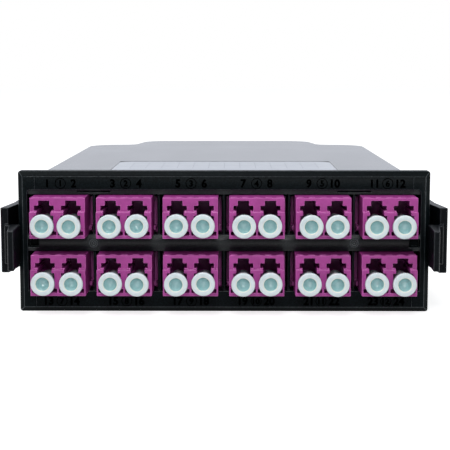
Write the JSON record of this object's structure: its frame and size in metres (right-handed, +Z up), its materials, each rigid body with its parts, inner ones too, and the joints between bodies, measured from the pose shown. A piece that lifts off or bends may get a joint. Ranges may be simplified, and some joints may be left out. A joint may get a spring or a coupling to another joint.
{
  "type": "fibre cassette",
  "caption": "Flat fibre breakout cassette with two rows of duplex ports in front, dust caps, squeeze latches and rear trunk connectors.",
  "frame": {"origin": "on the ground under the middle of the whole part", "axes": "+Z up, +X to the right seen from the front, +Y towards the rear connectors; the ports face -Y"},
  "size_m": [0.1054, 0.152, 0.0336],
  "materials": {
    "black_plastic": "satin moulded",
    "latch_plastic": "satin moulded",
    "violet_plastic": "smooth moulded",
    "cap_plastic": "soft translucent",
    "label_film": "matt film",
    "plug_plastic": "smooth moulded",
    "connector_plastic": "smooth moulded",
    "rear_cap_plastic": "smooth moulded"
  },
  "bodies": {
    "cassette": {"faceplate": "black_plastic", "housing_base": "black_plastic", "housing_cover": "black_plastic", "label": "label_film", "lc_adapter_01": "violet_plastic", "lc_adapter_02": "violet_plastic", "lc_adapter_03": "violet_plastic", "lc_adapter_04": "violet_plastic", "lc_adapter_05": "violet_plastic", "lc_adapter_06": "violet_plastic", "lc_adapter_07": "violet_plastic", "lc_adapter_08": "violet_plastic", "lc_adapter_09": "violet_plastic", "lc_adapter_10": "violet_plastic", "lc_adapter_11": "violet_plastic", "lc_adapter_12": "violet_plastic", "mpo_adapter_1": "connector_plastic", "mpo_adapter_2": "connector_plastic", "mpo_plug_1": "connector_plastic", "mpo_plug_2": "connector_plastic", "lc_plugs": "plug_plastic"},
    "latch_left": {"latch_left": "latch_plastic"},
    "latch_right": {"latch_right": "latch_plastic"},
    "dust_cap_01": {"dust_cap_01": "cap_plastic"},
    "dust_cap_02": {"dust_cap_02": "cap_plastic"},
    "dust_cap_03": {"dust_cap_03": "cap_plastic"},
    "dust_cap_04": {"dust_cap_04": "cap_plastic"},
    "dust_cap_05": {"dust_cap_05": "cap_plastic"},
    "dust_cap_06": {"dust_cap_06": "cap_plastic"},
    "dust_cap_07": {"dust_cap_07": "cap_plastic"},
    "dust_cap_08": {"dust_cap_08": "cap_plastic"},
    "dust_cap_09": {"dust_cap_09": "cap_plastic"},
    "dust_cap_10": {"dust_cap_10": "cap_plastic"},
    "dust_cap_11": {"dust_cap_11": "cap_plastic"},
    "dust_cap_12": {"dust_cap_12": "cap_plastic"},
    "dust_cap_13": {"dust_cap_13": "cap_plastic"},
    "dust_cap_14": {"dust_cap_14": "cap_plastic"},
    "dust_cap_15": {"dust_cap_15": "cap_plastic"},
    "dust_cap_16": {"dust_cap_16": "cap_plastic"},
    "dust_cap_17": {"dust_cap_17": "cap_plastic"},
    "dust_cap_18": {"dust_cap_18": "cap_plastic"},
    "dust_cap_19": {"dust_cap_19": "cap_plastic"},
    "dust_cap_20": {"dust_cap_20": "cap_plastic"},
    "dust_cap_21": {"dust_cap_21": "cap_plastic"},
    "dust_cap_22": {"dust_cap_22": "cap_plastic"},
    "dust_cap_23": {"dust_cap_23": "cap_plastic"},
    "dust_cap_24": {"dust_cap_24": "cap_plastic"},
    "mpo_cap_1": {"mpo_cap_1": "rear_cap_plastic"},
    "mpo_cap_2": {"mpo_cap_2": "rear_cap_plastic"}
  },
  "joints": [
    {"name": "latch_left_squeeze", "type": "hinge", "parent": "cassette", "child": "latch_left", "pos_m": [-0.04995, -0.02855, 0.01725], "axis": [0, 0, 1], "range_deg": [0, 2.6], "stiffness_Nm_per_rad": 1},
    {"name": "latch_right_squeeze", "type": "hinge", "parent": "cassette", "child": "latch_right", "pos_m": [0.04995, -0.02855, 0.01725], "axis": [0, 0, -1], "range_deg": [0, 2.6], "stiffness_Nm_per_rad": 1},
    {"name": "dust_cap_01_pull", "type": "slide", "parent": "cassette", "child": "dust_cap_01", "axis": [0, -1, 0], "range_m": [0, 0.02]},
    {"name": "dust_cap_02_pull", "type": "slide", "parent": "cassette", "child": "dust_cap_02", "axis": [0, -1, 0], "range_m": [0, 0.02]},
    {"name": "dust_cap_03_pull", "type": "slide", "parent": "cassette", "child": "dust_cap_03", "axis": [0, -1, 0], "range_m": [0, 0.02]},
    {"name": "dust_cap_04_pull", "type": "slide", "parent": "cassette", "child": "dust_cap_04", "axis": [0, -1, 0], "range_m": [0, 0.02]},
    {"name": "dust_cap_05_pull", "type": "slide", "parent": "cassette", "child": "dust_cap_05", "axis": [0, -1, 0], "range_m": [0, 0.02]},
    {"name": "dust_cap_06_pull", "type": "slide", "parent": "cassette", "child": "dust_cap_06", "axis": [0, -1, 0], "range_m": [0, 0.02]},
    {"name": "dust_cap_07_pull", "type": "slide", "parent": "cassette", "child": "dust_cap_07", "axis": [0, -1, 0], "range_m": [0, 0.02]},
    {"name": "dust_cap_08_pull", "type": "slide", "parent": "cassette", "child": "dust_cap_08", "axis": [0, -1, 0], "range_m": [0, 0.02]},
    {"name": "dust_cap_09_pull", "type": "slide", "parent": "cassette", "child": "dust_cap_09", "axis": [0, -1, 0], "range_m": [0, 0.02]},
    {"name": "dust_cap_10_pull", "type": "slide", "parent": "cassette", "child": "dust_cap_10", "axis": [0, -1, 0], "range_m": [0, 0.02]},
    {"name": "dust_cap_11_pull", "type": "slide", "parent": "cassette", "child": "dust_cap_11", "axis": [0, -1, 0], "range_m": [0, 0.02]},
    {"name": "dust_cap_12_pull", "type": "slide", "parent": "cassette", "child": "dust_cap_12", "axis": [0, -1, 0], "range_m": [0, 0.02]},
    {"name": "dust_cap_13_pull", "type": "slide", "parent": "cassette", "child": "dust_cap_13", "axis": [0, -1, 0], "range_m": [0, 0.02]},
    {"name": "dust_cap_14_pull", "type": "slide", "parent": "cassette", "child": "dust_cap_14", "axis": [0, -1, 0], "range_m": [0, 0.02]},
    {"name": "dust_cap_15_pull", "type": "slide", "parent": "cassette", "child": "dust_cap_15", "axis": [0, -1, 0], "range_m": [0, 0.02]},
    {"name": "dust_cap_16_pull", "type": "slide", "parent": "cassette", "child": "dust_cap_16", "axis": [0, -1, 0], "range_m": [0, 0.02]},
    {"name": "dust_cap_17_pull", "type": "slide", "parent": "cassette", "child": "dust_cap_17", "axis": [0, -1, 0], "range_m": [0, 0.02]},
    {"name": "dust_cap_18_pull", "type": "slide", "parent": "cassette", "child": "dust_cap_18", "axis": [0, -1, 0], "range_m": [0, 0.02]},
    {"name": "dust_cap_19_pull", "type": "slide", "parent": "cassette", "child": "dust_cap_19", "axis": [0, -1, 0], "range_m": [0, 0.02]},
    {"name": "dust_cap_20_pull", "type": "slide", "parent": "cassette", "child": "dust_cap_20", "axis": [0, -1, 0], "range_m": [0, 0.02]},
    {"name": "dust_cap_21_pull", "type": "slide", "parent": "cassette", "child": "dust_cap_21", "axis": [0, -1, 0], "range_m": [0, 0.02]},
    {"name": "dust_cap_22_pull", "type": "slide", "parent": "cassette", "child": "dust_cap_22", "axis": [0, -1, 0], "range_m": [0, 0.02]},
    {"name": "dust_cap_23_pull", "type": "slide", "parent": "cassette", "child": "dust_cap_23", "axis": [0, -1, 0], "range_m": [0, 0.02]},
    {"name": "dust_cap_24_pull", "type": "slide", "parent": "cassette", "child": "dust_cap_24", "axis": [0, -1, 0], "range_m": [0, 0.02]},
    {"name": "mpo_cap_1_pull", "type": "slide", "parent": "cassette", "child": "mpo_cap_1", "axis": [0, 1, 0], "range_m": [0, 0.02]},
    {"name": "mpo_cap_2_pull", "type": "slide", "parent": "cassette", "child": "mpo_cap_2", "axis": [0, 1, 0], "range_m": [0, 0.02]}
  ]
}
